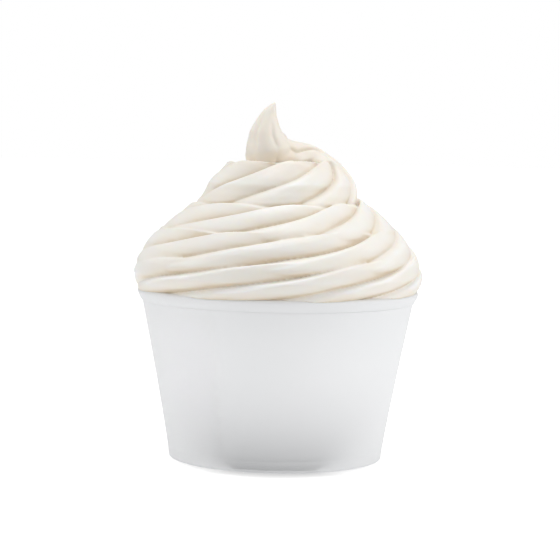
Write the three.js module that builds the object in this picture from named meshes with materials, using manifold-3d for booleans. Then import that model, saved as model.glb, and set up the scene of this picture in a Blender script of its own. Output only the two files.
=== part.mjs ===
// A frozen yogurt cup: a plain white paper cup, filled and topped with a soft-serve swirl.
// Millimetres, +Z up. The origin is on the cup's axis, at the floor, and the front faces -Y.

import * as THREE from "three";
import { ParametricGeometry } from "three/addons/geometries/ParametricGeometry.js";
import { mergeVertices } from "three/addons/utils/BufferGeometryUtils.js";
import Module from "manifold-3d";

const wasm = await Module();
wasm.setup();

// ---- Driving dimensions: the cup ----

const CUP_HEIGHT = 58;
const CUP_SIDES = 48;
const FLOOR_RADIUS = 36.4;      // outside, where the cup stands
const WALL_TOP_RADIUS = 46.3;   // outside, just under the rolled rim
const WALL_FLARE = 1.1;         // 1 is a straight cone; more opens out towards the rim
const PAPER = 0.8;              // the coated board, inside and outside layers together
const RIM_RADIUS = 48;
const RIM_HEIGHT = 4.4;
const RIM_DEPTH = 2.4;          // of the roll, across
const RIM_DRAW = 1.4;           // 1 is a straight slope from the roll's front down to the wall; more bulges out
const RIM_EDGE = 0.35;          // how far the roll's lower edge stands out from the wall
const HEM_HEIGHT = 5.2;         // the wall folded in under the base
const HEM_THICKNESS = 1.8;
const HEM_LINE_HEIGHT = 3.9;    // the crimped line round the foot
const HEM_LINE_WIDTH = 0.7;
const HEM_LINE_DEPTH = 0.08;
const BASE_THICKNESS = 0.8;
const GAP = 0.3;                // between pieces that touch

// ---- Driving dimensions: the swirl ----

// One rope of yogurt from a star nozzle, laid turn on turn and pulled up into a tip.
// A row is read where the rope passes the front; the rings are level there and climb at the back.
//   radius, height   the middle of the rope's outer face
//   tilt             degrees that the face looks up
//   long, deep       half the section's size along the face and across it
//   relief           depth of the creases between the ridges
//   x, y             how far the rings' axis is moved sideways and back
const ROPE = [
  { turn: -1, radius: 48.6, height: 53, tilt: 3, long: 7, deep: 8, relief: 3.2, x: 0, y: 0 },
  { turn: 0, radius: 49.4, height: 63.6, tilt: 4, long: 7.3, deep: 8, relief: 3.2, x: 0, y: 0 },
  { turn: 1, radius: 44.9, height: 74.8, tilt: 36, long: 8.4, deep: 8.4, relief: 3.2, x: 0, y: 0 },
  { turn: 2, radius: 34.2, height: 84, tilt: 48, long: 9.6, deep: 8.6, relief: 3.2, x: 0.5, y: 0 },
  { turn: 3, radius: 24.6, height: 95.4, tilt: 25, long: 9.8, deep: 9, relief: 3.2, x: 0.6, y: 0 },
  { turn: 3.12, radius: 22.8, height: 97.5, tilt: 38, long: 9.4, deep: 9, relief: 3.2, x: 0.8, y: -0.5 },
  { turn: 3.25, radius: 17.6, height: 100.8, tilt: 46, long: 8.8, deep: 8.8, relief: 3, x: 2.6, y: -2 },
  { turn: 3.375, radius: 14.4, height: 104.4, tilt: 44, long: 8.6, deep: 8.6, relief: 2.4, x: 2.4, y: -1.2 },
  { turn: 3.5, radius: 10.2, height: 105.8, tilt: 34, long: 8.2, deep: 8.2, relief: 1.6, x: 0.6, y: 0.4 },
  { turn: 3.625, radius: 8.8, height: 105.4, tilt: 15, long: 8.2, deep: 8.2, relief: 1.5, x: -3, y: 0.8 },
  { turn: 3.75, radius: 8, height: 105.4, tilt: 0, long: 7.9, deep: 7.9, relief: 1.4, x: -4.1, y: 0.6 },
  { turn: 3.875, radius: 7.1, height: 108.2, tilt: 0, long: 7.1, deep: 7.1, relief: 1.2, x: -4.7, y: 0.3 },
  { turn: 4, radius: 5.7, height: 111.2, tilt: 0, long: 5.7, deep: 5.7, relief: 1, x: -5, y: 0 },
  { turn: 4.25, radius: 3.2, height: 116.3, tilt: 0, long: 3.2, deep: 3.2, relief: 0.5, x: -4.3, y: 0 },
  { turn: 4.45, radius: 1.7, height: 119.3, tilt: 0, long: 1.7, deep: 1.7, relief: 0.25, x: -3.2, y: 0 },
  { turn: 4.6, radius: 0.3, height: 121.4, tilt: 0, long: 0.3, deep: 0.3, relief: 0.02, x: -2.2, y: 0 },
];
// After some turns, the degrees from the face's middle up to the first ridge.
const PHASE = [
  { turn: -0.75, degrees: 10 }, { turn: -0.25, degrees: 21 }, { turn: 0, degrees: 37 },
  { turn: 0.25, degrees: 68 }, { turn: 0.75, degrees: 28 }, { turn: 0.9, degrees: 41 },
  { turn: 0.95, degrees: 52 }, { turn: 1, degrees: 57 }, { turn: 1.05, degrees: 59 },
  { turn: 1.25, degrees: 95 }, { turn: 1.75, degrees: 64 }, { turn: 2, degrees: 80 },
  { turn: 2.25, degrees: 129 }, { turn: 2.75, degrees: 74 }, { turn: 2.87, degrees: 79 },
  { turn: 3, degrees: 84 }, { turn: 3.12, degrees: 90 }, { turn: 3.25, degrees: 106 },
  { turn: 3.375, degrees: 117 }, { turn: 3.5, degrees: 120 }, { turn: 3.75, degrees: 125 },
  { turn: 4, degrees: 125 }, { turn: 4.6, degrees: 120 },
];
const LOBES = 6;                // points of the star
const CREST = 0.5;              // how far up from a ridge's middle, 0 to 1, it stands highest
const ROUND_SHARE = 0.55;       // how much of a ridge's section is a round arc; the rest is a shallow curve
const PRESSED_LEFT = 0.85;      // how much of the creases' depth is lost at the left side, and at the right
const PRESSED_RIGHT = 0.5;
const PRESSED_POWER = 6;        // more keeps the pressed part nearer to the sides
const SQUARENESS = 3.2;         // of the section before the lobes: 2 is an ellipse, more is boxier
const ROPE_START = -0.75;       // turns; the first end is tucked in under the first ring
const RINGS_END = 3;            // the last level ring; from here the rope is pulled in and up
const RELEASE = 0.3;            // turns over which a ring stops being level
const ROUNDING_START = 3.05;    // turns from which the section grows round, for the tip
const ROUNDING = 0.5;           // turns that this takes

// The swirl's outline, [height, radius], that the soft rings sag out to.
const OUTLINE = [
  [50, 45.5], [57.5, 48], [60, 49], [63.2, 49.5], [67.8, 48.3], [72, 46.1], [74, 44.7], [76.5, 42.4], [80, 38.7],
  [83.2, 34.9], [86, 31.6], [89, 27.6], [91.8, 25.9], [94.1, 24.9], [96.4, 23], [101.3, 18.1], [104, 14], [107, 10],
];
const SAG_REACH = 4;            // a ring this far inside the outline comes halfway out to it

// The yogurt inside the rings: radius and height up the middle.
const FILL_TOP = [47.4, 59.5];
const CORE = [
  [41, 61.3], [37, 74.3], [31, 79.3], [28, 86], [24, 89.5], [18, 93.3], [9, 99.3], [5, 101.3], [0, 103.3],
];

// How finely the rope is made.
const STEPS_PER_TURN = 26;
const POINTS_PER_LOBE = 4;      // an even number, so that a point lies in each crease
const TURNS_PER_PIECE = 0.2;    // the rope is joined from pieces this long
const HALF_STEP = 0.002;        // turns before and after a point that its heading is taken from
const WALL_LEVELS = [14, 27, 40];
const RIM_STEPS = 4;            // round a quarter of the roll, and down its front

// ---- Solids and meshes ----

/** A closed geometry as a solid that can be joined and cut. */
function toSolid(geometry) {
  geometry.deleteAttribute("normal");
  geometry.deleteAttribute("uv");
  const merged = mergeVertices(geometry, 1e-4);
  const index = merged.index.array;
  const triangles = [];
  for (let i = 0; i < index.length; i += 3) {
    const [a, b, c] = [index[i], index[i + 1], index[i + 2]];
    if (a !== b && b !== c && c !== a) {
      triangles.push(a, b, c);
    }
  }
  return new wasm.Manifold(new wasm.Mesh({
    numProp: 3,
    vertProperties: new Float32Array(merged.attributes.position.array),
    triVerts: new Uint32Array(triangles),
  }));
}

/** The outer skin of a solid, without the small pockets and scraps that joining leaves. */
function wholeSkin(solid) {
  return solid.decompose().reduce((best, piece) => (piece.volume() > best.volume() ? piece : best));
}

/** A solid as a geometry. */
function toGeometry(solid) {
  const mesh = solid.getMesh();
  const geometry = new THREE.BufferGeometry();
  geometry.setAttribute("position", new THREE.BufferAttribute(mesh.vertProperties, 3));
  geometry.setIndex(new THREE.BufferAttribute(mesh.triVerts, 1));
  geometry.computeVertexNormals();
  return geometry;
}

/** A closed outline of [radius, height] points, turned round the cup's axis. */
function turned(outline) {
  const points = outline.map(([radius, height]) => new THREE.Vector2(radius, height));
  return new THREE.LatheGeometry(points, CUP_SIDES).rotateX(Math.PI / 2);
}

// ---- The cup ----

/** The wall's outside radius at a height. */
function wallRadius(height) {
  const rise = height / (CUP_HEIGHT - RIM_HEIGHT);
  return FLOOR_RADIUS + (WALL_TOP_RADIUS - FLOOR_RADIUS) * Math.pow(Math.max(rise, 0), WALL_FLARE);
}

/** The rolled rim's outside, from its lower edge up to its top. */
function rimOutside() {
  const half = RIM_DEPTH / 2;
  const low = CUP_HEIGHT - RIM_HEIGHT;
  const high = CUP_HEIGHT - half;
  const tuck = RIM_RADIUS - wallRadius(low) - RIM_EDGE;
  const points = [[wallRadius(low), low]];
  for (let i = RIM_STEPS; i > 0; i -= 1) {
    const share = i / RIM_STEPS;
    points.push([RIM_RADIUS - tuck * share ** RIM_DRAW, high - (high - low - GAP) * share]);
  }
  for (let i = 0; i < RIM_STEPS; i += 1) {
    const angle = (i / RIM_STEPS) * Math.PI / 2;
    points.push([RIM_RADIUS - half + half * Math.cos(angle), high + half * Math.sin(angle)]);
  }
  return points;
}

/** The rolled rim from its top in to the wall, at some distance from its surface. */
function rimInside(distance) {
  const half = RIM_DEPTH / 2;
  return Array.from({ length: RIM_STEPS + 1 }, (_, i) => {
    const angle = (1 + i / RIM_STEPS) * Math.PI / 2;
    const reach = half + distance;
    return [RIM_RADIUS - half + reach * Math.cos(angle), CUP_HEIGHT - half + reach * Math.sin(angle)];
  });
}

/** The wall's inside, from the rim down to the hem, at some distance from its surface. */
function wallInside(lowest, distance) {
  return [CUP_HEIGHT - RIM_HEIGHT, ...[...WALL_LEVELS].reverse(), lowest]
    .map((height) => [wallRadius(height) - PAPER - distance, height]);
}

function cupWall() {
  const line = [HEM_LINE_HEIGHT - HEM_LINE_WIDTH / 2, HEM_LINE_HEIGHT, HEM_LINE_HEIGHT + HEM_LINE_WIDTH / 2];
  const outside = [0, ...line, ...WALL_LEVELS]
    .map((height) => [wallRadius(height) - (height === HEM_LINE_HEIGHT ? HEM_LINE_DEPTH : 0), height]);
  const hem = [[wallRadius(HEM_HEIGHT) - HEM_THICKNESS, HEM_HEIGHT], [FLOOR_RADIUS - HEM_THICKNESS, 0]];
  return turned([...outside, ...rimOutside(), ...rimInside(0), ...wallInside(HEM_HEIGHT, 0), ...hem, outside[0]]);
}

function cupBase() {
  const bottom = HEM_HEIGHT + GAP;
  const top = bottom + BASE_THICKNESS;
  const radius = wallRadius(bottom) - PAPER - GAP;
  return turned([[0, bottom], [radius, bottom], [radius, top], [0, top]]);
}

// ---- The yogurt ----

/** One column of a table with a turn in each row, smooth through its rows. */
function smoothValue(table, name, at) {
  const last = table.length - 2;
  let row = 0;
  while (row < last && at > table[row + 1].turn) {
    row += 1;
  }
  const slope = (i) => {
    const before = table[Math.max(i - 1, 0)];
    const after = table[Math.min(i + 1, table.length - 1)];
    return (after[name] - before[name]) / (after.turn - before.turn);
  };
  const width = table[row + 1].turn - table[row].turn;
  const f = (at - table[row].turn) / width;
  const change = table[row + 1][name] - table[row][name];
  const start = slope(row) * width;
  const end = slope(row + 1) * width;
  return table[row][name] + f * (start + f * (3 * change - 2 * start - end + f * (start + end - 2 * change)));
}

function ropeValue(name, at) {
  return smoothValue(ROPE, name, at);
}

/** The row to read after some turns: it waits at the front of each ring and catches up at the back. */
function ringPlace(turn) {
  const hold = THREE.MathUtils.clamp(1 - (turn - RINGS_END) / RELEASE, 0, 1);
  return turn - hold * Math.sin(2 * Math.PI * turn) / (2 * Math.PI);
}

/** The rope's heading round the cup's axis after some turns, in radians. */
function ringAngle(turn) {
  return (turn - 0.25) * 2 * Math.PI;
}

/** Where the rings' axis is, on the floor. */
function ringAxis(place) {
  return new THREE.Vector3(ropeValue("x", place), ropeValue("y", place), 0);
}

/** The middle of the rope after some turns. */
function ropeCentre(turn) {
  const place = ringPlace(turn);
  const tilt = THREE.MathUtils.degToRad(ropeValue("tilt", place));
  const deep = ropeValue("deep", place);
  const radius = ropeValue("radius", place) - deep * Math.cos(tilt);
  const height = ropeValue("height", place) - deep * Math.sin(tilt);
  const angle = ringAngle(turn);
  return new THREE.Vector3(radius * Math.cos(angle), radius * Math.sin(angle), height).add(ringAxis(place));
}

/** How far a ridge's side has fallen, 0 at the crest to 1 in the crease, after a share of its width. */
function fall(share) {
  return ROUND_SHARE * (1 - Math.sqrt(Math.max(1 - share ** 2, 0))) + (1 - ROUND_SHARE) * share ** 2;
}

/** How deep the star is cut, 0 on a ridge to 1 in a crease, at an angle from the middle of a lobe. */
function creaseDepth(angle) {
  const lobe = angle * LOBES / (2 * Math.PI);
  const up = 2 * (Math.round(lobe) - lobe);
  return up < CREST ? fall((CREST - up) / (1 + CREST)) : fall((up - CREST) / (1 - CREST));
}

/** The outline's radius at a height. */
function outlineRadius(height) {
  const row = OUTLINE.findIndex(([level]) => level > height);
  if (row <= 0) {
    return row === 0 ? OUTLINE[0][1] : OUTLINE[OUTLINE.length - 1][1];
  }
  const [low, high] = [OUTLINE[row - 1], OUTLINE[row]];
  return THREE.MathUtils.mapLinear(height, low[0], high[0], low[1], high[1]);
}

/** A point on a ring, sagged out towards the outline by a share from 0 to 1. */
function sag(point, axis, share) {
  const fromAxis = point.clone().sub(axis).setZ(0);
  const radius = fromAxis.length();
  const outline = outlineRadius(point.z);
  const short = Math.max(outline - radius, 0);
  const sagged = outline - short ** 2 / (short + SAG_REACH);
  return radius > 1 ? point.addScaledVector(fromAxis, share * (sagged / radius - 1)) : point;
}

/** How deep the creases are after some turns: they are pressed shallower at the sides. */
function reliefDepth(turn) {
  const sideways = Math.cos(ringAngle(turn));
  const pressed = (sideways < 0 ? PRESSED_LEFT : PRESSED_RIGHT) * sideways ** PRESSED_POWER;
  return (1 - pressed) * ropeValue("relief", ringPlace(turn));
}

/** A point on the rope's skin. The nozzle never turns, so the star keeps its bearing in the world. */
function ropePoint(turn, around) {
  const place = ringPlace(turn);
  const along = ropeCentre(turn + HALF_STEP).sub(ropeCentre(turn - HALF_STEP)).normalize();
  const outward = new THREE.Vector3(Math.cos(ringAngle(turn)), Math.sin(ringAngle(turn)), 0);
  outward.addScaledVector(along, -outward.dot(along)).normalize();
  const upward = outward.clone().cross(along);

  const lay = new THREE.Quaternion().setFromUnitVectors(new THREE.Vector3(0, 0, 1), along);
  const degrees = 90 + smoothValue(PHASE, "degrees", turn) + ropeValue("tilt", place);
  const bearing = around - THREE.MathUtils.degToRad(degrees);
  const arm = new THREE.Vector3(Math.cos(bearing), Math.sin(bearing), 0).applyQuaternion(lay);

  const tilt = THREE.MathUtils.degToRad(ropeValue("tilt", place));
  const fromFace = Math.atan2(arm.dot(upward), arm.dot(outward)) - tilt;
  const square = THREE.MathUtils.clamp(1 - (place - ROUNDING_START) / ROUNDING, 0, 1);
  const power = 2 + (SQUARENESS - 2) * square;
  const cos = Math.cos(fromFace);
  const sin = Math.sin(fromFace);
  const reach = (Math.abs(cos) ** power + Math.abs(sin) ** power) ** (-1 / power);
  const across = reach * cos * ropeValue("deep", place);
  const lengthwise = reach * sin * ropeValue("long", place);
  const offset = outward.multiplyScalar(across * Math.cos(tilt) - lengthwise * Math.sin(tilt))
    .addScaledVector(upward, across * Math.sin(tilt) + lengthwise * Math.cos(tilt));

  const skin = sag(ropeCentre(turn).add(offset), ringAxis(place), square);
  return skin.addScaledVector(offset.normalize(), -creaseDepth(around) * reliefDepth(turn));
}

/** A closed length of rope. */
function ropePiece(from, to) {
  const slices = LOBES * POINTS_PER_LOBE;
  const steps = Math.max(2, Math.round((to - from) * STEPS_PER_TURN));
  const stacks = steps + 2;
  const skin = (u, v, target) => {
    const stack = Math.round(v * stacks);
    const turn = from + (to - from) * THREE.MathUtils.clamp((stack - 1) / steps, 0, 1);
    if (stack === 0 || stack === stacks) {
      return target.copy(ropeCentre(turn));
    }
    const slice = Math.round(u * slices) % slices;
    return target.copy(ropePoint(turn, (slice / slices) * 2 * Math.PI));
  };
  return toSolid(new ParametricGeometry(skin, slices, stacks));
}

function ropeSolid() {
  const end = ROPE[ROPE.length - 1].turn;
  const count = Math.round((end - ROPE_START) / TURNS_PER_PIECE);
  const length = (end - ROPE_START) / count;
  let rope = ropePiece(ROPE_START, ROPE_START + length);
  for (let i = 1; i < count; i += 1) {
    rope = rope.add(ropePiece(ROPE_START + i * length, ROPE_START + (i + 1) * length));
  }
  return rope;
}

/** Everything that the cup takes up or shuts out: its wall, its rim and all that lies outside them. */
function keepOut() {
  const bottom = HEM_HEIGHT + BASE_THICKNESS + 2 * GAP;
  const far = 2 * RIM_RADIUS;
  const inside = [...rimInside(GAP), ...wallInside(bottom, GAP)];
  return toSolid(turned([[0, -far], [far, -far], [far, CUP_HEIGHT + GAP], ...inside, [0, bottom]]));
}

function yogurt() {
  const fill = toSolid(turned([[0, 0], [FILL_TOP[0], 0], FILL_TOP, ...CORE]));
  return toGeometry(wholeSkin(fill.add(ropeSolid()).subtract(keepOut())));
}

// ---- The scene ----

const paperMaterial = new THREE.MeshStandardMaterial({ color: 0xf4f4f4, roughness: 0.6, metalness: 0 });
const yogurtMaterial = new THREE.MeshStandardMaterial({ color: 0xf3ebdf, roughness: 0.45, metalness: 0 });

function named(name, geometry, material) {
  const mesh = new THREE.Mesh(geometry, material);
  mesh.name = name;
  return mesh;
}

const group = new THREE.Group();
group.add(named("cup_wall", cupWall(), paperMaterial));
group.add(named("cup_base", cupBase(), paperMaterial));
group.add(named("yogurt", yogurt(), yogurtMaterial));

export default group;
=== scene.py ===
"""A frozen yogurt cup: the looks of the paper cup and its soft-serve swirl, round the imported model."""
from math import cos, pi, radians, sin, tan

import bmesh
import bpy
import numpy as np
from mathutils import Matrix, Vector


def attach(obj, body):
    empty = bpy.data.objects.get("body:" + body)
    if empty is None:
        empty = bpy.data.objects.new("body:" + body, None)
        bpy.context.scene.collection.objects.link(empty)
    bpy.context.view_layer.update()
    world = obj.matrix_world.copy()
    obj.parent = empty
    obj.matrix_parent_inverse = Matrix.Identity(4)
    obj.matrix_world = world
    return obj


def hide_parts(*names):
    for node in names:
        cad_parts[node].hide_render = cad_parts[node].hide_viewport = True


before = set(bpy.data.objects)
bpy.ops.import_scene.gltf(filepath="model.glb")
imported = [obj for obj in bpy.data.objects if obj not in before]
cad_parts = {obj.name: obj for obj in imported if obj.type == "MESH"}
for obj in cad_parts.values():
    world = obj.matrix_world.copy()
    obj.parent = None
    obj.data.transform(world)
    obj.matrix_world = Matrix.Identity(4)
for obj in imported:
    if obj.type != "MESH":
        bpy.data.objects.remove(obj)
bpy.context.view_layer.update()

MM = 0.001
TINY = 1e-9                # keeps a division from failing at the axis

# ---- Sizes of the cup, in millimetres ----

CUP_HEIGHT = 58.0
FLOOR_RADIUS = 36.4        # outside, where the cup stands
WALL_TOP_RADIUS = 46.3     # outside, just under the rolled rim
WALL_FLARE = 1.1           # 1 is a straight cone; more opens out towards the rim
BOARD = 0.45               # thickness of the coated board
RIM_RADIUS = 48.0
RIM_HEIGHT = 4.4
RIM_DEPTH = 2.4            # of the roll, across
RIM_DRAW = 1.4             # 1 is a straight slope from the roll's front down to the wall; more bulges out
RIM_EDGE = 0.35            # how far the roll's lower edge stands out from the wall
RIM_EDGE_LIFT = 0.3        # how far above the rim's lowest point that edge is
RIM_CUT_OUTSIDE = (0.6, -0.1)      # the board's cut edge there: share of RIM_EDGE inwards, and up
RIM_CUT_INSIDE = (0.85, 0.2)
CREVICE_WIDTH = 0.02       # between the wall and the roll, at its top
CREVICE_HEIGHT = 1.6
FOOT_ROUNDING = 0.25       # of the fold that the cup stands on
HEM_HEIGHT = 5.2           # the wall folded in under the base
HEM_THICKNESS = 1.8
HEM_CLEARANCE = 0.2        # between the hem's top and the lowest point of the wall's inside
HEM_LINE_HEIGHT = 3.9      # the crimped line round the foot
HEM_LINE_DEPTH = 0.08
HEM_LINE_WIDTH = 0.7
SEAM_BEARING = 90.0        # degrees; the wall's glued overlap is at the back
SEAM_STEP = 0.35
SEAM_EDGE = 0.4            # width of the step itself
SEAM_LEVEL = 2.0           # from the step, before it fades
SEAM_FADE = 8.0
BASE_LIFT = 0.3            # of the base above the hem
BASE_THICKNESS = 0.8
BASE_INSET = 1.1           # of its edge from the wall's outside
BASE_BORDER = 6.0          # the ring of faces round its edge
BASE_ROUNDING = 0.2

# ---- Sizes of the swirl, in millimetres ----

# One rope of yogurt from a star nozzle, laid turn on turn and pulled up into a tip.
# A row is read where the rope passes the front; the rings are level there and climb at the back.
#   radius, height   the middle of the rope's outer face
#   tilt             degrees that the face looks up
#   long, deep       half the section's size along the face and across it
#   relief           depth of the creases between the ridges
#   x, y             how far the rings' axis is moved sideways and back
COLUMNS = ["turn", "radius", "height", "tilt", "long", "deep", "relief", "x", "y"]
ROPE = np.array([
    [-1.0, 48.6, 53.0, 3.0, 7.0, 8.0, 3.2, 0.0, 0.0],
    [0.0, 49.4, 63.6, 4.0, 7.3, 8.0, 3.2, 0.0, 0.0],
    [1.0, 44.9, 74.8, 36.0, 8.4, 8.4, 3.2, 0.0, 0.0],
    [2.0, 34.2, 84.0, 48.0, 9.6, 8.6, 3.2, 0.5, 0.0],
    [3.0, 24.6, 95.4, 25.0, 9.8, 9.0, 3.2, 0.6, 0.0],
    [3.12, 22.8, 97.5, 38.0, 9.4, 9.0, 3.2, 0.8, -0.5],
    [3.25, 17.6, 100.8, 46.0, 8.8, 8.8, 3.0, 2.6, -2.0],
    [3.375, 14.4, 104.4, 44.0, 8.6, 8.6, 1.8, 2.4, -1.2],
    [3.5, 10.2, 105.8, 34.0, 8.2, 8.2, 1.1, 0.6, 0.4],
    [3.625, 8.8, 105.4, 15.0, 8.2, 8.2, 1.1, -3.0, 0.8],
    [3.75, 8.0, 105.4, 0.0, 7.9, 7.9, 1.1, -4.1, 0.6],
    [3.875, 7.1, 108.2, 0.0, 7.1, 7.1, 1.0, -4.7, 0.3],
    [4.0, 5.7, 111.2, 0.0, 5.7, 5.7, 0.9, -5.0, 0.0],
    [4.25, 3.2, 116.3, 0.0, 3.2, 3.2, 0.5, -4.3, 0.0],
    [4.45, 1.7, 119.3, 0.0, 1.7, 1.7, 0.25, -3.2, 0.0],
    [4.6, 0.3, 121.4, 0.0, 0.3, 0.3, 0.02, -2.2, 0.0],
])
# After some turns, the degrees from the face's middle up to the first ridge.
PHASE = np.array([
    [-0.75, 10], [-0.25, 21], [0, 37], [0.25, 68], [0.75, 28], [0.9, 41], [0.95, 52], [1, 57], [1.05, 59],
    [1.25, 95], [1.75, 64], [2, 80], [2.25, 129], [2.75, 74], [2.87, 79], [3, 84], [3.12, 90], [3.25, 106],
    [3.375, 117], [3.5, 120], [3.75, 125], [4, 125], [4.6, 120],
])
LOBES = 6                  # points of the star
UNEVEN = 0.4               # between a crease's deepest and shallowest places, as a share of its relief
UNEVEN_RATE = 1.3          # times that a crease grows shallow in a turn
UNEVEN_STEP = 2.3          # radians between one crease's shallow places and the next one's
CREST = 0.5                # how far up from a ridge's middle, 0 to 1, it stands highest
ROUND_SHARE = 0.55         # how much of a ridge's section is a round arc; the rest is a shallow curve
PRESSED_LEFT = 0.85        # how much of the creases' depth is lost at the left side, and at the right
PRESSED_RIGHT = 0.5
PRESSED_POWER = 6          # more keeps the pressed part nearer to the sides
SQUARENESS = 3.2           # of the section before the lobes: 2 is an ellipse, more is boxier
ROPE_START = -0.75         # turns; the first end is tucked in under the first ring
RINGS_END = 3.0            # the last level ring; from here the rope is pulled in and up
RELEASE = 0.3              # turns over which a ring stops being level
ROUNDING_START = 3.05      # turns from which the section grows round, for the tip
ROUNDING = 0.5             # turns that this takes

# The swirl's outline, height and radius, that the soft rings sag out to.
OUTLINE = np.array([
    [50, 45.5], [57.5, 48.0], [60, 49.0], [63.2, 49.5], [67.8, 48.3], [72, 46.1], [74, 44.7], [76.5, 42.4],
    [80, 38.7], [83.2, 34.9], [86, 31.6], [89, 27.6], [91.8, 25.9], [94.1, 24.9], [96.4, 23.0], [101.3, 18.1],
    [104, 14], [107, 10],
])
SAG_REACH = 4.0            # a ring this far inside the outline comes halfway out to it

AXIS_RADIUS = 0.01         # of the small flat cap that closes a turned piece at the axis
# The fill, radius and height: from the base up the wall, and then the swirl's hidden core.
FILL_LIFT = 1.6            # of its floor above the hem
FILL_GAP = 0.4             # between it and the wall, before the two are smoothed together
FILL_HEIGHTS = (20, 35, CUP_HEIGHT - 6)      # rings of points up the wall
FILL_SHOULDER = (RIM_RADIUS - 2, CUP_HEIGHT + 1)
CORE = [
    (41, 61.3), (37, 74.3), (31, 79.3), (28, 86), (24, 89.5), (18, 93.3), (9, 99.3), (5, 101.3),
    (AXIS_RADIUS, 103.3),
]
SKIN_GAP = 0.05            # between the finished yogurt and the wall
RIM_OVERHANG = 0.8         # how far down the roll's front the yogurt hangs

# ---- How finely things are made ----

STEPS_PER_TURN = 150
POINTS_PER_LOBE = 16
TURN_STEP = 0.002          # turns over which the rope's direction is taken
VOXEL = 0.3
SMOOTHING = 0.5
SMOOTHING_PASSES = 5
YOGURT_TRIANGLES = 170000
TURNED_SIDES = 96          # of the fill and the base
CUP_SIDES = 288
FOOT_RINGS = (0.0, FOOT_ROUNDING, 1.2, 2.4)  # heights of the wall's rings of points, below the crimped line
HEM_RING = 6.0             # the one above it
WALL_RINGS_START = 9.0     # and the even ones up to the rim
WALL_RINGS_END = 0.6       # under the rim
WALL_RINGS = 16
INNER_RINGS = 10
ROLL_POINTS = 11
ROLL_FRONT_POINTS = 8
HOLLOW_POINTS = 9
SEAM_POINTS = 9
SEAM_POINTS_REACH = 1.2    # how far to either side of the seam they go, in widths of its step
SEAM_CLEAR = 0.03          # radians to either side that the even points leave to them

# ---- How the creases are found, for the yogurt's painted shade and highlights ----

CREASE_PASSES = 140        # of evening out, to find the creases; more finds broader ones
CREASE_SHADE_FULL = 1.5          # millimetres under the evened skin where a crease has its full painted shade
EDGE_HIGHLIGHT_MARK = 1.35           # the mark of a ridge's sharp upper edge, which takes the brightest painted highlight, where its crest has 1
UNDERSIDE_SHADE = 1.25           # how much a ridge's underside takes the crease's painted shade
RIM_TUCK_SHADE = (60.5, 57.8)    # heights between which the yogurt that tucks in over the rim takes the painted shade too, as a contact shadow
TIP_FADE = (94.0, 101.0)   # heights between which the tip loses most of this painted shade and highlight
TIP_SHARE = 0.3            # what it keeps of them

# ---- The materials ----

# A grain is how many bumps there are to the metre, how many finer layers they have, and how rough these are.
# A relief is a grain, how strongly it shows, and its depth in metres.
# The yogurt's colour ramp: painted highlights on the ridges' upper edges and crests, the yogurt's own cream
# on the faces, and painted shade in the creases.
EDGE_HIGHLIGHT_COLOUR = (0.995, 0.988, 0.965)
RIDGE_HIGHLIGHT_COLOUR = (0.94, 0.912, 0.858)
FACE_COLOUR = (0.885, 0.825, 0.735)
CREASE_SHADE_COLOUR = (0.75, 0.64, 0.495)
MARK_GRAIN = (90, 3, 0.5)
MARK_DRIFT = 0.12          # how much the painted shade and highlight stray from the creases' marks
YOGURT_GLOSS_GRAIN = (420, 3, 0.5)
YOGURT_ROUGHNESS = (0.36, 0.5)
YOGURT_SPECULAR = 0.4
SCATTER_WEIGHT = 0.35
SCATTER_RADIUS = (1.0, 0.72, 0.45)
SCATTER_SCALE = 0.0008     # metres
YOGURT_WAVES = ((260, 3, 0.5), 0.25, 0.0003)
YOGURT_BUBBLES = ((1500, 4, 0.6), 0.2, 0.00006)

PAPER_COLOURS = ((0.855, 0.865, 0.875), (0.87, 0.875, 0.885))
PAPER_MOTTLE = (30, 3, 0.5)
PAPER_GLOSS_GRAIN = (900, 3, 0.5)
PAPER_ROUGHNESS = (0.5, 0.6)
COAT_WEIGHT = 0.12
COAT_ROUGHNESS = 0.35
PAPER_WAVES = ((120, 2, 0.5), 0.08, 0.0002)
PAPER_FIBRES = ((3200, 4, 0.65), 0.12, 0.00003)
NOISE_RANGE = (0.3, 0.7)   # most of a noise's values lie between these

# ---- The view and the studio ----

CAMERA_PLACE = Vector((0.65, -700, 118)) * MM
CAMERA_PITCH = 4.68        # degrees that it looks down
CAMERA_ROLL = 1.12         # degrees
CAMERA_FIELD = 15.56       # degrees across
SENSOR = 36.0              # millimetres
CLIPPING = (0.01, 20)      # metres
WHITE = 1.0                # a glow that the picture shows as pure white

FLOOR_SIZE = 8.0           # metres
FLOOR_GREY = 0.5
FLOOR_ROUGHNESS = 0.9
FLOOR_GLOW = 0.435         # the floor's own glow, as it lights the cup
# The glow as the camera sees it is weaker at the cup's foot, a painted soft contact shadow, and white beyond
# it.
FLOOR_SEEN = (0.42, WHITE)
FLOOR_SEEN_FULL = (0.0425, 0.053, 1.0)       # metres to where it is white: sideways, forwards and up
FLOOR_SEEN_START = 0.69    # share of that way from which it grows
WORLD_GLOW = 0.475

# A grey card on the floor, unseen by the camera, that darkens the foot of the cup: its corners, in metres.
FLAG = ((-0.060, -0.058), (0.062, -0.034))
FLAG_HEIGHT = 0.001
FLAG_GREY = 0.53

LIGHTS_AIM = (0, 0, 0.07)
# Softboxes: place and width in metres, and watts.
LIGHTS = {
    "top": ((0.0, 0.0, 0.75), 0.4, 2.15),
    "right": ((0.60, -0.10, 0.30), 0.4, 1.18),
    "left": ((-0.60, -0.10, 0.30), 0.4, 0.72),
}
# Strip lights behind grids that keep their light on the cup: degrees round from the front, and watts.
STRIPS = {
    "strip_left": (-35, 0.0052),
    "strip_right": (35, 0.0031),
    "strip_far_right": (70, 0.0017),
}
STRIP_SIZE = (0.3, 0.04)   # metres, across and high
STRIP_DISTANCE = 0.7
STRIP_HEIGHT = 0.06
STRIP_AIM = (0.0, 0.0, 0.03)
STRIP_SPREAD = 6.0         # degrees
OPEN_SPREAD = 180.0        # of a softbox without a grid


# ---- Meshes ----

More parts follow.
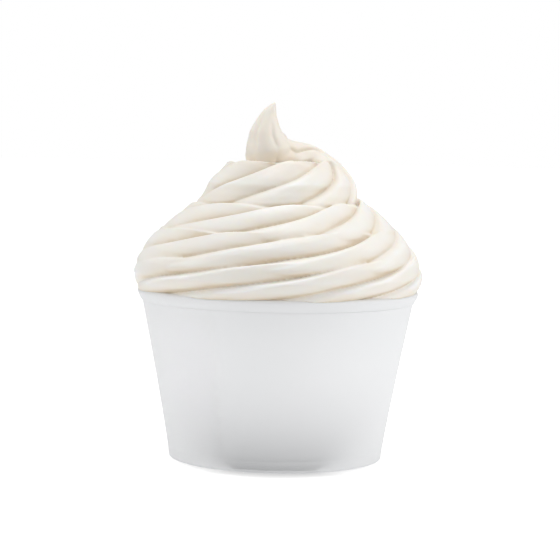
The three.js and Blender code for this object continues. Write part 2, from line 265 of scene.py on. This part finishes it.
def new_object(name, points, faces):
    """A smooth mesh object from points in millimetres."""
    mesh = bpy.data.meshes.new(name)
    mesh.from_pydata((np.asarray(points, float) * MM).tolist(), [], faces)
    mesh.update()
    mesh.shade_smooth()
    piece = bpy.data.objects.new(name, mesh)
    bpy.context.scene.collection.objects.link(piece)
    return piece


def grid_faces(rows, columns):
    """Quads between the rows of a grid of points whose columns close into a ring."""
    index = np.arange(rows * columns).reshape(rows, columns)
    here, up = index[:-1], index[1:]
    quads = np.stack([here, np.roll(here, -1, axis=1), np.roll(up, -1, axis=1), up], axis=-1)
    return quads.reshape(-1, 4).tolist()


def apply_modifiers(piece):
    """Turns a piece into the mesh that its modifiers make."""
    graph = bpy.context.evaluated_depsgraph_get()
    mesh = bpy.data.meshes.new_from_object(piece.evaluated_get(graph))
    piece.modifiers.clear()
    piece.data = mesh


# ---- The yogurt ----

def smooth_rows(places, values, at):
    """Values between a table's rows, on a smooth curve through them."""
    last = len(places) - 1
    row = np.clip(np.searchsorted(places, at, side="right") - 1, 0, last - 1)

    def slope(i):
        before = np.maximum(i - 1, 0)
        after = np.minimum(i + 1, last)
        return (values[after] - values[before]) / (places[after] - places[before])

    width = places[row + 1] - places[row]
    f = (at - places[row]) / width
    change = values[row + 1] - values[row]
    start = slope(row) * width
    end = slope(row + 1) * width
    return values[row] + f * (start + f * (3 * change - 2 * start - end + f * (start + end - 2 * change)))


def rope_value(name, at):
    """One column of the ROPE table, smooth through its rows."""
    return smooth_rows(ROPE[:, 0], ROPE[:, COLUMNS.index(name)], at)


def ring_place(turn):
    """The row to read after some turns: it waits at the front of each ring and catches up at the back."""
    hold = np.clip(1 - (turn - RINGS_END) / RELEASE, 0, 1)
    return turn - hold * np.sin(2 * pi * turn) / (2 * pi)


def outward(turn):
    """The level direction from the cup's axis to the rope."""
    angle = (turn - 0.25) * 2 * pi
    return np.stack([np.cos(angle), np.sin(angle), np.zeros_like(angle)], axis=-1)


def ring_axis(place):
    """Where the rings' axis is, on the floor."""
    x = rope_value("x", place)
    return np.stack([x, rope_value("y", place), 0 * x], axis=-1)


def rope_centre(turn):
    """The middle of the rope after some turns."""
    place = ring_place(turn)
    tilt = np.radians(rope_value("tilt", place))
    deep = rope_value("deep", place)
    radius = rope_value("radius", place) - deep * np.cos(tilt)
    centre = outward(turn) * radius[:, None] + ring_axis(place)
    centre[:, 2] = rope_value("height", place) - deep * np.sin(tilt)
    return centre


def fall(share):
    """How far a ridge's side has fallen, 0 at the crest to 1 in the crease, after a share of its width."""
    share = np.clip(share, 0, 1)
    return ROUND_SHARE * (1 - np.sqrt(1 - share ** 2)) + (1 - ROUND_SHARE) * share ** 2


def crease_depth(around):
    """How deep the star is cut, 0 on a ridge to 1 in a crease, at an angle from the middle of a lobe."""
    lobe = around * LOBES / (2 * pi)
    up = 2 * (np.round(lobe) - lobe)
    return np.where(up < CREST, fall((CREST - up) / (1 + CREST)), fall((up - CREST) / (1 - CREST)))


def unit(vectors):
    """Vectors of length 1."""
    return vectors / np.linalg.norm(vectors, axis=-1, keepdims=True)


def sag(points, axis, share):
    """Points on the rings, sagged out towards the outline by a share from 0 to 1."""
    from_axis = (points - axis[:, None, :]) * (1, 1, 0)
    radius = np.hypot(from_axis[..., 0], from_axis[..., 1]) + TINY
    outline = np.interp(points[..., 2], OUTLINE[:, 0], OUTLINE[:, 1])
    short = np.maximum(outline - radius, 0)
    sagged = outline - short ** 2 / (short + SAG_REACH)
    moved = np.where(radius > 1, share[:, None] * (sagged / radius - 1), 0)
    return points + from_axis * moved[..., None]


def star_arms(turn, around, along, tilt):
    """The directions across the rope in which the nozzle's star points, turned with the rope's climb."""
    bearing = around[None, :] - np.radians(90 + smooth_rows(PHASE[:, 0], PHASE[:, 1], turn) + tilt)[:, None]
    level = np.stack([np.cos(bearing), np.sin(bearing), np.zeros_like(bearing)], axis=-1)
    pivot = np.stack([-along[:, 1], along[:, 0], along[:, 0] * 0], axis=-1)[:, None, :]
    climb = along[:, 2][:, None, None]
    turned_up = pivot * np.sum(pivot * level, axis=-1, keepdims=True) / (1 + climb)
    return level * climb + np.cross(pivot, level) + turned_up


def relief_depth(turn, around, place):
    """How deep the skin is cut: less where the sides are pressed in, and unevenly along each crease."""
    sideways = outward(turn)[:, 0]
    pressed = np.where(sideways < 0, PRESSED_LEFT, PRESSED_RIGHT) * sideways ** PRESSED_POWER
    depth = crease_depth(around)[None, :] * ((1 - pressed) * rope_value("relief", place))[:, None]
    crease = np.floor(around * LOBES / (2 * pi))
    wave = np.sin(UNEVEN_RATE * 2 * pi * turn[:, None] + UNEVEN_STEP * crease[None, :])
    return depth * (1 + UNEVEN / 4 - UNEVEN * (0.5 + 0.5 * wave))


def rope_skin(turn, around):
    """Points on the rope's skin, for turns along it and angles round it."""
    place = ring_place(turn)
    along = unit(rope_centre(turn + TURN_STEP) - rope_centre(turn - TURN_STEP))
    out = outward(turn)
    out = unit(out - np.sum(out * along, axis=1, keepdims=True) * along)
    up = np.cross(out, along)
    tilt = rope_value("tilt", place)
    arm = star_arms(turn, around, along, tilt)
    tilt = np.radians(tilt)[:, None]
    arm_out = np.sum(arm * out[:, None, :], axis=-1)
    arm_up = np.sum(arm * up[:, None, :], axis=-1)
    from_face = np.arctan2(arm_up, arm_out) - tilt

    square = np.clip(1 - (place - ROUNDING_START) / ROUNDING, 0, 1)
    power = (2 + (SQUARENESS - 2) * square)[:, None]
    reach = (np.abs(np.cos(from_face)) ** power + np.abs(np.sin(from_face)) ** power) ** (-1 / power)
    across = reach * np.cos(from_face) * rope_value("deep", place)[:, None]
    lengthwise = reach * np.sin(from_face) * rope_value("long", place)[:, None]
    offset = (across * np.cos(tilt) - lengthwise * np.sin(tilt))[..., None] * out[:, None, :]
    offset += (across * np.sin(tilt) + lengthwise * np.cos(tilt))[..., None] * up[:, None, :]
    skin = sag(rope_centre(turn)[:, None, :] + offset, ring_axis(place), square)
    return skin - unit(offset) * relief_depth(turn, around, place)[..., None]


def rope_object():
    """The rope as one closed mesh that runs into itself where its turns touch."""
    end = ROPE[-1, 0]
    turn = np.linspace(ROPE_START, end, round((end - ROPE_START) * STEPS_PER_TURN) + 1)
    slices = LOBES * POINTS_PER_LOBE
    skin = rope_skin(turn, np.arange(slices) / slices * 2 * pi)
    points = np.vstack([skin.reshape(-1, 3), rope_centre(turn[:1]), rope_centre(turn[-1:])])
    first, last = len(points) - 2, len(points) - 1
    ring = np.arange(slices)
    top = ring + (len(turn) - 1) * slices
    faces = grid_faces(len(turn), slices)
    faces += [(first, int(b), int(a)) for a, b in zip(ring, np.roll(ring, -1))]
    faces += [(last, int(a), int(b)) for a, b in zip(top, np.roll(top, -1))]
    return new_object("rope", points, faces)


def turned(name, outline, sides):
    """An outline of (radius, height) points that starts and ends near the axis, turned round it."""
    angle = np.arange(sides) / sides * 2 * pi
    points = [np.stack([r * np.cos(angle), r * np.sin(angle), angle * 0 + z], axis=-1) for r, z in outline]
    bottom = list(range(sides))
    top = [i + (len(outline) - 1) * sides for i in bottom]
    faces = grid_faces(len(outline), sides) + [bottom[::-1], top]
    return new_object(name, np.vstack(points), faces)


def wall_radius(height):
    """The wall's outside radius at a height."""
    rise = np.maximum(np.asarray(height, float), 0) / (CUP_HEIGHT - RIM_HEIGHT)
    return FLOOR_RADIUS + (WALL_TOP_RADIUS - FLOOR_RADIUS) * rise ** WALL_FLARE


def keep_in_cup(points):
    """Moves the yogurt's points out of the wall and the rim: inwards below the rim, and up onto it."""
    radius = np.hypot(points[:, 0], points[:, 1])
    inside = wall_radius(points[:, 2]) - BOARD - SKIN_GAP
    centre = RIM_RADIUS - RIM_DEPTH / 2
    across = np.clip((radius - centre) / (RIM_DEPTH / 2), -1, 1)
    rim_top = CUP_HEIGHT - RIM_DEPTH / 2 * (1 - np.sqrt(1 - across ** 2))
    rim_top = np.where(radius > centre, np.maximum(rim_top, CUP_HEIGHT - RIM_OVERHANG), rim_top)
    hit = (points[:, 2] < rim_top) & (radius > inside)
    inwards = hit & (radius - inside < rim_top - points[:, 2])
    upwards = hit & ~inwards
    scale = np.where(inwards, inside / np.maximum(radius, 1), 1)
    points[:, 0] *= scale
    points[:, 1] *= scale
    points[:, 2] = np.where(upwards, rim_top, points[:, 2])
    return points


def drop_specks(mesh):
    """Deletes the specks that thinning leaves beside the skin, each of two triangles back to back."""
    work = bmesh.new()
    work.from_mesh(mesh)
    specks = [face for face in work.faces if all(len(corner.link_faces) == 2 for corner in face.verts)]
    bmesh.ops.delete(work, geom=specks, context="FACES")
    work.to_mesh(mesh)
    work.free()


def evened_out(values, first, second, passes):
    """Rows of values on points, each moved to the mean of its neighbours a number of times."""
    count, columns = values.shape
    neighbours = np.bincount(first, minlength=count) + np.bincount(second, minlength=count)
    for _ in range(passes):
        sums = [np.bincount(first, values[second, k], count) + np.bincount(second, values[first, k], count)
                for k in range(columns)]
        values = np.stack(sums, axis=-1) / neighbours[:, None]
    return values


def mark_painted_shade_and_highlight(mesh):
    """Marks each point for painted shade and highlight: up to 1 (shade) in a crease or under a ridge, -1
    (highlight) on a crest, less on its upper edge.
    """
    points = np.zeros(len(mesh.vertices) * 3, np.float32)
    normals = np.zeros(len(mesh.vertices) * 3, np.float32)
    ends = np.zeros(len(mesh.edges) * 2, np.int32)
    mesh.vertices.foreach_get("co", points)
    mesh.vertex_normals.foreach_get("vector", normals)
    mesh.edges.foreach_get("vertices", ends)
    points = points.reshape(-1, 3) / MM
    normals = normals.reshape(-1, 3)
    first, second = ends.reshape(-1, 2).T
    evened = evened_out(np.column_stack([points, normals[:, 2]]), first, second, CREASE_PASSES)
    depth = np.sum((evened[:, :3] - points) * normals, axis=-1)
    # Painted shade under the ridges: skin that faces further down than the evened skin takes the crease
    # colour.
    underside_shading = evened[:, 3] - normals[:, 2]
    height = points[:, 2]
    # Painted contact shade where the yogurt tucks in over the rim.
    tuck = np.interp(height, RIM_TUCK_SHADE[::-1], (1, 0))
    mark = np.clip(depth / CREASE_SHADE_FULL + UNDERSIDE_SHADE * underside_shading + tuck, -EDGE_HIGHLIGHT_MARK, 1)
    mark *= np.interp(height, TIP_FADE, (1, TIP_SHARE))
    layer = mesh.attributes.new("crease", "FLOAT", "POINT")
    layer.data.foreach_set("value", mark.astype(np.float32))


def joined(name, pieces):
    """Several pieces as one, under a new name."""
    bpy.ops.object.select_all(action="DESELECT")
    for piece in pieces:
        piece.select_set(True)
    bpy.context.view_layer.objects.active = pieces[-1]
    bpy.ops.object.join()
    whole = bpy.context.view_layer.objects.active
    whole.name = name
    whole.data.name = name
    return whole


def make_yogurt():
    """The fill and the rope, melted into one skin, and thinned."""
    base = HEM_HEIGHT + FILL_LIFT
    wall = [(float(wall_radius(z)) - BOARD - FILL_GAP, z) for z in (base, *FILL_HEIGHTS)]
    rope = rope_object()
    fill = turned("fill", [(AXIS_RADIUS, base)] + wall + [FILL_SHOULDER] + CORE, TURNED_SIDES)
    yogurt = joined("yogurt_swirl", (fill, rope))
    remesh = yogurt.modifiers.new("skin", "REMESH")
    remesh.mode = "VOXEL"
    remesh.voxel_size = VOXEL * MM
    smooth = yogurt.modifiers.new("smooth", "SMOOTH")
    smooth.factor = SMOOTHING
    smooth.iterations = SMOOTHING_PASSES
    apply_modifiers(yogurt)

    mesh = yogurt.data
    places = np.zeros(len(mesh.vertices) * 3, np.float32)
    mesh.vertices.foreach_get("co", places)
    points = keep_in_cup(places.reshape(-1, 3).astype(float) / MM)
    mesh.vertices.foreach_set("co", (points * MM).astype(np.float32).ravel())
    mesh.update()

    thin = yogurt.modifiers.new("thin", "DECIMATE")
    thin.ratio = min(1, YOGURT_TRIANGLES / (2 * len(mesh.polygons)))
    apply_modifiers(yogurt)
    drop_specks(yogurt.data)
    yogurt.data.shade_smooth()
    mark_painted_shade_and_highlight(yogurt.data)
    return yogurt


# ---- The cup ----

def arc(centre, radius, start, end, points):
    """Points of (radius, height) on an arc from one angle to another."""
    angles = np.linspace(start, end, points)
    return [(centre[0] + radius * cos(angle), centre[1] + radius * sin(angle)) for angle in angles]


def roll_outline():
    """The rim's board, rolled out and down to the wall: its outside face and its inside face."""
    half = RIM_DEPTH / 2
    centre = (RIM_RADIUS - half, CUP_HEIGHT - half)
    foot = CUP_HEIGHT - RIM_HEIGHT + RIM_EDGE_LIFT
    drop = centre[1] - foot
    tuck = float(wall_radius(foot)) + RIM_EDGE
    outside = arc(centre, half, pi, 0, ROLL_POINTS)
    for share in np.linspace(0, 1, ROLL_FRONT_POINTS)[1:]:
        outside.append((RIM_RADIUS - (RIM_RADIUS - tuck) * share ** RIM_DRAW, centre[1] - drop * share))
    inwards, up = RIM_CUT_OUTSIDE
    outside.append((tuck - RIM_EDGE * inwards, foot + up))
    inwards, up = RIM_CUT_INSIDE
    inside = [(tuck - RIM_EDGE * inwards, foot + up)] + arc(centre, half - BOARD, 0, pi, HOLLOW_POINTS)
    return outside, inside


def wall_outline():
    """The wall's outside face from the floor up to the rim, with the crimped line round its foot."""
    edge = HEM_LINE_WIDTH / 2
    heights = [*FOOT_RINGS, HEM_LINE_HEIGHT - edge, HEM_LINE_HEIGHT, HEM_LINE_HEIGHT + edge, HEM_RING]
    heights += list(np.linspace(WALL_RINGS_START, CUP_HEIGHT - RIM_HEIGHT - WALL_RINGS_END, WALL_RINGS))
    radii = [float(wall_radius(z)) for z in heights]
    radii[0] -= FOOT_ROUNDING
    radii[heights.index(HEM_LINE_HEIGHT)] -= HEM_LINE_DEPTH
    return list(zip(radii, heights))


def seam_step(angle):
    """How much of the seam's step the wall has, 0 to 1: a sharp edge that fades on one side."""
    along = (angle - radians(SEAM_BEARING)) * WALL_TOP_RADIUS
    rise = np.clip(0.5 + along / SEAM_EDGE, 0, 1)
    fade = np.clip(1 - (along - SEAM_LEVEL) / SEAM_FADE, 0, 1)
    return rise * fade


def make_cup_shell():
    """The wall with its rolled rim and folded hem, one sheet of board with a glued seam at the back."""
    top = CUP_HEIGHT - RIM_HEIGHT
    wall = wall_outline()
    rolled, hollow = roll_outline()
    # The wall's outside runs on up inside the roll, and the board comes back down as the roll's inside face.
    wall_top = float(wall_radius(top))
    crevice = [(wall_top, top), (wall_top + CREVICE_WIDTH, top + CREVICE_HEIGHT)]
    inner_heights = np.linspace(top, HEM_HEIGHT + HEM_CLEARANCE, INNER_RINGS)
    inner = [(float(wall_radius(z)) - BOARD, z) for z in inner_heights]
    hem = [
        (float(wall_radius(HEM_HEIGHT)) - HEM_THICKNESS, HEM_HEIGHT),
        (FLOOR_RADIUS - HEM_THICKNESS, FOOT_ROUNDING),
        (FLOOR_RADIUS - HEM_THICKNESS + FOOT_ROUNDING, 0.0),
    ]
    outline = wall + crevice + hollow[::-1] + rolled[::-1] + inner + hem + [wall[0]]

    seam = radians(SEAM_BEARING)
    even = np.linspace(0, 2 * pi, CUP_SIDES, endpoint=False)
    aside = np.linspace(-SEAM_POINTS_REACH, SEAM_POINTS_REACH, SEAM_POINTS)
    near = seam + aside * SEAM_EDGE / WALL_TOP_RADIUS
    angle = np.sort(np.concatenate([even[np.abs(even - seam) > SEAM_CLEAR], near]))
    step = SEAM_STEP * seam_step(angle)
    points = []
    for i, (radius, height) in enumerate(outline):
        on_wall = i < len(wall) or i == len(outline) - 1
        reach = radius + step if on_wall else radius + 0 * step
        points.append(np.stack([reach * np.cos(angle), reach * np.sin(angle), 0 * angle + height], axis=-1))
    return new_object("cup_shell", np.vstack(points), grid_faces(len(outline), len(angle)))


def make_cup_disc():
    """The base, a flat disc of board that is set up above the hem."""
    low = HEM_HEIGHT + BASE_LIFT
    high = low + BASE_THICKNESS
    edge = float(wall_radius(low)) - BASE_INSET
    underside = [(AXIS_RADIUS, low), (edge - BASE_BORDER, low), (edge - BASE_ROUNDING, low)]
    side = [(edge, low + BASE_ROUNDING), (edge, high - BASE_ROUNDING)]
    upper = [(radius, high) for radius, _ in underside[::-1]]
    return turned("cup_disc", underside + side + upper, TURNED_SIDES)


# ---- Materials ----

def principled(name):
    """A new material, its node tree and its shader."""
    material = bpy.data.materials.new(name)
    material.use_nodes = True
    return material, material.node_tree, material.node_tree.nodes["Principled BSDF"]


def noise(tree, grain):
    """Procedural noise in the object's own space."""
    scale, detail, roughness = grain
    place = tree.nodes.new("ShaderNodeTexCoord")
    texture = tree.nodes.new("ShaderNodeTexNoise")
    texture.inputs["Scale"].default_value = scale
    texture.inputs["Detail"].default_value = detail
    texture.inputs["Roughness"].default_value = roughness
    tree.links.new(place.outputs["Object"], texture.inputs["Vector"])
    return texture.outputs["Fac"]


def map_range(tree, value, from_range, to_range):
    """A number that runs through one range as another runs through its own."""
    node = tree.nodes.new("ShaderNodeMapRange")
    node.inputs["From Min"].default_value, node.inputs["From Max"].default_value = from_range
    node.inputs["To Min"].default_value, node.inputs["To Max"].default_value = to_range
    tree.links.new(value, node.inputs["Value"])
    return node.outputs["Result"]


def varied(tree, grain, low, high):
    """A number that varies over the surface with a grain."""
    return map_range(tree, noise(tree, grain), NOISE_RANGE, (low, high))


def bump(tree, shader, relief, under=None):
    """Gives the shader a relief, on top of another one if there is one under it."""
    grain, strength, depth = relief
    node = tree.nodes.new("ShaderNodeBump")
    node.inputs["Strength"].default_value = strength
    node.inputs["Distance"].default_value = depth
    tree.links.new(noise(tree, grain), node.inputs["Height"])
    if under:
        tree.links.new(under, node.inputs["Normal"])
    tree.links.new(node.outputs["Normal"], shader.inputs["Normal"])
    return node.outputs["Normal"]


def yogurt_material():
    """Moist cream-white yogurt, with painted highlights on the ridges and painted warm shade in the creases
    and under the ridges.
    """
    material, tree, shader = principled("yogurt")
    crease = tree.nodes.new("ShaderNodeAttribute")
    crease.attribute_name = "crease"
    mark = tree.nodes.new("ShaderNodeMath")
    mark.operation = "ADD"
    tree.links.new(crease.outputs["Fac"], mark.inputs[0])
    tree.links.new(varied(tree, MARK_GRAIN, -MARK_DRIFT, MARK_DRIFT), mark.inputs[1])
    # The ramp runs from painted highlight on the ridges' edges, through the yogurt's own cream, to painted
    # shade in the creases.
    ramp = tree.nodes.new("ShaderNodeValToRGB")
    tree.links.new(map_range(tree, mark.outputs["Value"], (-EDGE_HIGHLIGHT_MARK, 1), (0, 1)), ramp.inputs["Fac"])
    stops = ramp.color_ramp.elements
    stops[0].color = (*EDGE_HIGHLIGHT_COLOUR, 1)
    stops[1].color = (*CREASE_SHADE_COLOUR, 1)
    for at, colour in ((-1, RIDGE_HIGHLIGHT_COLOUR), (0, FACE_COLOUR)):
        stops.new((at + EDGE_HIGHLIGHT_MARK) / (1 + EDGE_HIGHLIGHT_MARK)).color = (*colour, 1)
    tree.links.new(ramp.outputs["Color"], shader.inputs["Base Color"])
    tree.links.new(varied(tree, YOGURT_GLOSS_GRAIN, *YOGURT_ROUGHNESS), shader.inputs["Roughness"])
    shader.inputs["Subsurface Weight"].default_value = SCATTER_WEIGHT
    shader.inputs["Subsurface Radius"].default_value = SCATTER_RADIUS
    shader.inputs["Subsurface Scale"].default_value = SCATTER_SCALE
    shader.inputs["Specular IOR Level"].default_value = YOGURT_SPECULAR
    bump(tree, shader, YOGURT_BUBBLES, bump(tree, shader, YOGURT_WAVES))
    return material


def paper_material():
    """White board with a thin coating over faintly mottled, finely grained paper."""
    material, tree, shader = principled("cup_paper")
    mottle = tree.nodes.new("ShaderNodeMix")
    mottle.data_type = "RGBA"
    for socket, colour in zip("AB", PAPER_COLOURS):
        mottle.inputs[socket].default_value = (*colour, 1)
    tree.links.new(varied(tree, PAPER_MOTTLE, 0, 1), mottle.inputs["Factor"])
    tree.links.new(mottle.outputs["Result"], shader.inputs["Base Color"])
    tree.links.new(varied(tree, PAPER_GLOSS_GRAIN, *PAPER_ROUGHNESS), shader.inputs["Roughness"])
    shader.inputs["Coat Weight"].default_value = COAT_WEIGHT
    shader.inputs["Coat Roughness"].default_value = COAT_ROUGHNESS
    bump(tree, shader, PAPER_FIBRES, bump(tree, shader, PAPER_WAVES))
    return material


def matt_grey(name, grey, roughness):
    """A material without gloss."""
    material, tree, shader = principled(name)
    shader.inputs["Base Color"].default_value = (grey, grey, grey, 1)
    shader.inputs["Roughness"].default_value = roughness
    shader.inputs["Specular IOR Level"].default_value = 0.0
    return material, tree, shader


def for_camera(tree, lighting):
    """A strength: one number for the light that it gives, and another, To Max, as the camera sees it."""
    path = tree.nodes.new("ShaderNodeLightPath")
    strength = tree.nodes.new("ShaderNodeMapRange")
    strength.inputs["To Min"].default_value = lighting
    strength.inputs["To Max"].default_value = WHITE
    tree.links.new(path.outputs["Is Camera Ray"], strength.inputs["Value"])
    return strength


def floor_material():
    """White paper, lit from below as on a light table, so that it is as pale as the backdrop; its glow dims
    towards the cup's foot as a painted contact shadow.
    """
    material, tree, shader = matt_grey("studio_floor", FLOOR_GREY, FLOOR_ROUGHNESS)
    shader.inputs["Emission Color"].default_value = (1, 1, 1, 1)
    place = tree.nodes.new("ShaderNodeTexCoord")
    share = tree.nodes.new("ShaderNodeVectorMath")
    share.operation = "DIVIDE"
    share.inputs[1].default_value = FLOOR_SEEN_FULL
    distance = tree.nodes.new("ShaderNodeVectorMath")
    distance.operation = "LENGTH"
    tree.links.new(place.outputs["Object"], share.inputs[0])
    tree.links.new(share.outputs["Vector"], distance.inputs[0])
    # Painted contact shadow: the glow that the camera sees dims towards the cup's foot.
    seen = map_range(tree, distance.outputs["Value"], (FLOOR_SEEN_START, 1), FLOOR_SEEN)
    seen.node.interpolation_type = "SMOOTHSTEP"
    strength = for_camera(tree, FLOOR_GLOW)
    tree.links.new(seen, strength.inputs["To Max"])
    tree.links.new(strength.outputs["Result"], shader.inputs["Emission Strength"])
    return material


# ---- The studio ----

def make_camera():
    """A camera at the photograph's place, tilt, roll and field."""
    camera = bpy.data.cameras.new("camera")
    camera.sensor_width = SENSOR
    camera.lens = SENSOR / 2 / tan(radians(CAMERA_FIELD / 2))
    camera.clip_start, camera.clip_end = CLIPPING
    holder = bpy.data.objects.new("camera", camera)
    bpy.context.scene.collection.objects.link(holder)
    aim = Matrix.Rotation(pi / 2 - radians(CAMERA_PITCH), 4, "X")
    roll = Matrix.Rotation(radians(CAMERA_ROLL), 4, "Z")
    holder.matrix_world = Matrix.Translation(CAMERA_PLACE) @ aim @ roll
    bpy.context.scene.camera = holder


def area_light(name, place, size, watts, target=LIGHTS_AIM, spread=OPEN_SPREAD):
    """An area light; its size is in metres, across and high, and it spreads over some degrees."""
    light = bpy.data.lights.new(name, "AREA")
    light.shape = "RECTANGLE"
    light.size, light.size_y = size
    light.spread = radians(spread)
    light.energy = watts
    holder = bpy.data.objects.new(name, light)
    bpy.context.scene.collection.objects.link(holder)
    holder.location = place
    holder.rotation_euler = (Vector(target) - Vector(place)).to_track_quat("-Z", "Y").to_euler()


def level_sheet(name, low, high, height, material):
    """A level rectangle between two corners, in metres."""
    (x0, y0), (x1, y1) = low, high
    corners = np.array([(x0, y0, height), (x1, y0, height), (x1, y1, height), (x0, y1, height)])
    sheet = new_object(name, corners / MM, [(0, 1, 2, 3)])
    sheet.data.materials.append(material)
    return sheet


def make_studio():
    """A white room with a glowing floor, softboxes above and at the sides, and strip lights for the cup."""
    world = bpy.data.worlds.new("studio")
    bpy.context.scene.world = world
    world.use_nodes = True
    background = world.node_tree.nodes["Background"]
    background.inputs["Color"].default_value = (1, 1, 1, 1)
    strength = for_camera(world.node_tree, WORLD_GLOW)
    world.node_tree.links.new(strength.outputs["Result"], background.inputs["Strength"])
    for name, (place, size, watts) in LIGHTS.items():
        area_light(name, place, (size, size), watts)
    for name, (bearing, watts) in STRIPS.items():
        x = STRIP_DISTANCE * sin(radians(bearing))
        y = -STRIP_DISTANCE * cos(radians(bearing))
        area_light(name, (x, y, STRIP_HEIGHT), STRIP_SIZE, watts, STRIP_AIM, STRIP_SPREAD)

    half = FLOOR_SIZE / 2
    floor = level_sheet("floor", (-half, -half), (half, half), 0, floor_material())
    grey, _, _ = matt_grey("black_card", FLAG_GREY, 1.0)
    card = level_sheet("flag", *FLAG, FLAG_HEIGHT, grey)
    card.visible_camera = False
    card.visible_shadow = False
    bpy.context.scene.view_settings.view_transform = "Standard"


# ---- Everything together ----

def dress(piece, material, node):
    """Gives a piece its material, attaches it to the root body, and hides its CAD node, in whose place it
    stands.
    """
    piece.data.materials.clear()
    piece.data.materials.append(material)
    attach(piece, "root")
    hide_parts(node)


paper = paper_material()
dress(make_cup_shell(), paper, "cup_wall")
dress(make_cup_disc(), paper, "cup_base")
dress(make_yogurt(), yogurt_material(), "yogurt")
make_camera()
make_studio()
